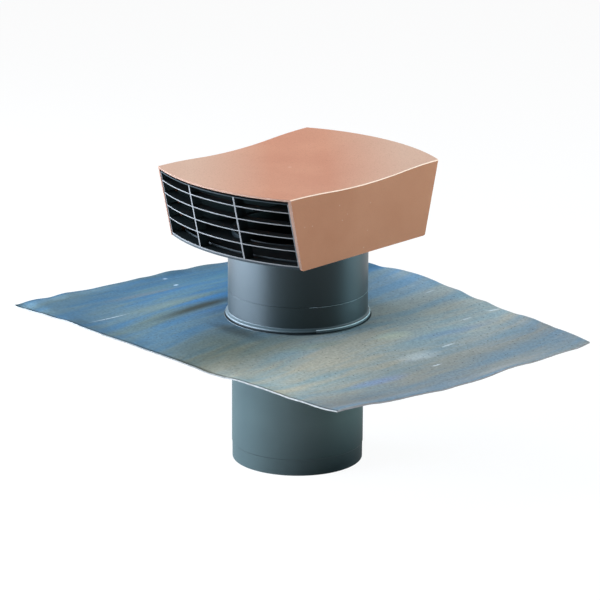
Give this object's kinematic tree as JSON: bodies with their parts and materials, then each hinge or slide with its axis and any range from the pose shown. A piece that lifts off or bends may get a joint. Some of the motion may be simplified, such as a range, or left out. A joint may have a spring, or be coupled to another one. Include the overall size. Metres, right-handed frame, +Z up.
{
  "type": "roof tile vent",
  "caption": "Roof ventilation outlet: bowed terracotta hood with louvre grilles at front and rear, on a round dark duct that passes through a soft lead flashing.",
  "frame": {"origin": "middle of the duct's lower mouth, in the plane of the rim that the vent stands on", "axes": "+Z up along the duct, -Y towards the front grille, +X towards the right side panel"},
  "size_m": [0.5702, 0.4242, 0.3467],
  "materials": {
    "terracotta_plastic": "satin moulded",
    "dark_plastic": "satin blue-grey",
    "black_rubber": "matte",
    "lead_sheet": "rolled lead, dull sheen"
  },
  "bodies": {
    "root": {"cap_cover": "terracotta_plastic", "front_grille": "dark_plastic", "rear_grille": "dark_plastic", "hood_floor": "dark_plastic", "left_liner": "dark_plastic", "right_liner": "dark_plastic", "head_sleeve": "dark_plastic", "storm_collar": "dark_plastic", "duct_spigot": "dark_plastic", "collar_seal": "black_rubber", "lead_flashing": "lead_sheet"}
  },
  "joints": []
}
